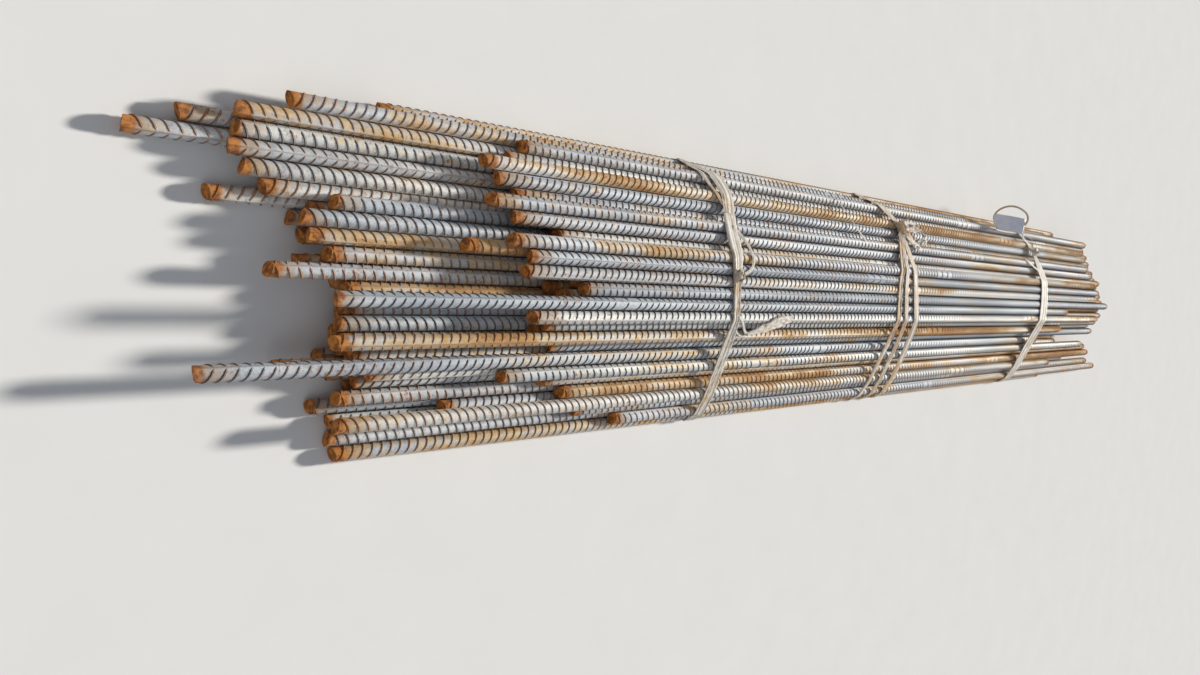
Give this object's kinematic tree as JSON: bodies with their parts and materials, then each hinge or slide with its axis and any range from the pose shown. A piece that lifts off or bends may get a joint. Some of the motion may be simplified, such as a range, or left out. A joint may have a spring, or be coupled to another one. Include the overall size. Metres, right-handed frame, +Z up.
{
  "type": "rebar bundle",
  "caption": "Flat-bottomed bundle of straight ribbed steel reinforcing bars with staggered ends, held by knotted plastic strapping, with a blank card tag.",
  "frame": {"origin": "bottom centre of the bundle's box, on the ground it lies on", "axes": "+X along the bars towards their far ends, +Y to the left, +Z up"},
  "size_m": [3.968, 0.6207, 0.1616],
  "materials": {
    "rebar_steel": "hot-rolled mill scale, grey, with light orange rust in streaks and on the sheared ends",
    "strap_plastic": "weathered off-white woven plastic strapping, creased, stained by rust",
    "tag_card": "plain coated card, bare"
  },
  "bodies": {
    "root": {"bars_layer_1": "rebar_steel", "bars_layer_2": "rebar_steel", "bars_layer_3": "rebar_steel", "bars_layer_4": "rebar_steel", "bars_layer_5": "rebar_steel", "bars_layer_6": "rebar_steel", "near_strap": "strap_plastic", "middle_strap": "strap_plastic", "far_strap": "strap_plastic", "loose_strand": "strap_plastic", "card_tag": "tag_card", "tag_tie": "strap_plastic"}
  },
  "joints": []
}
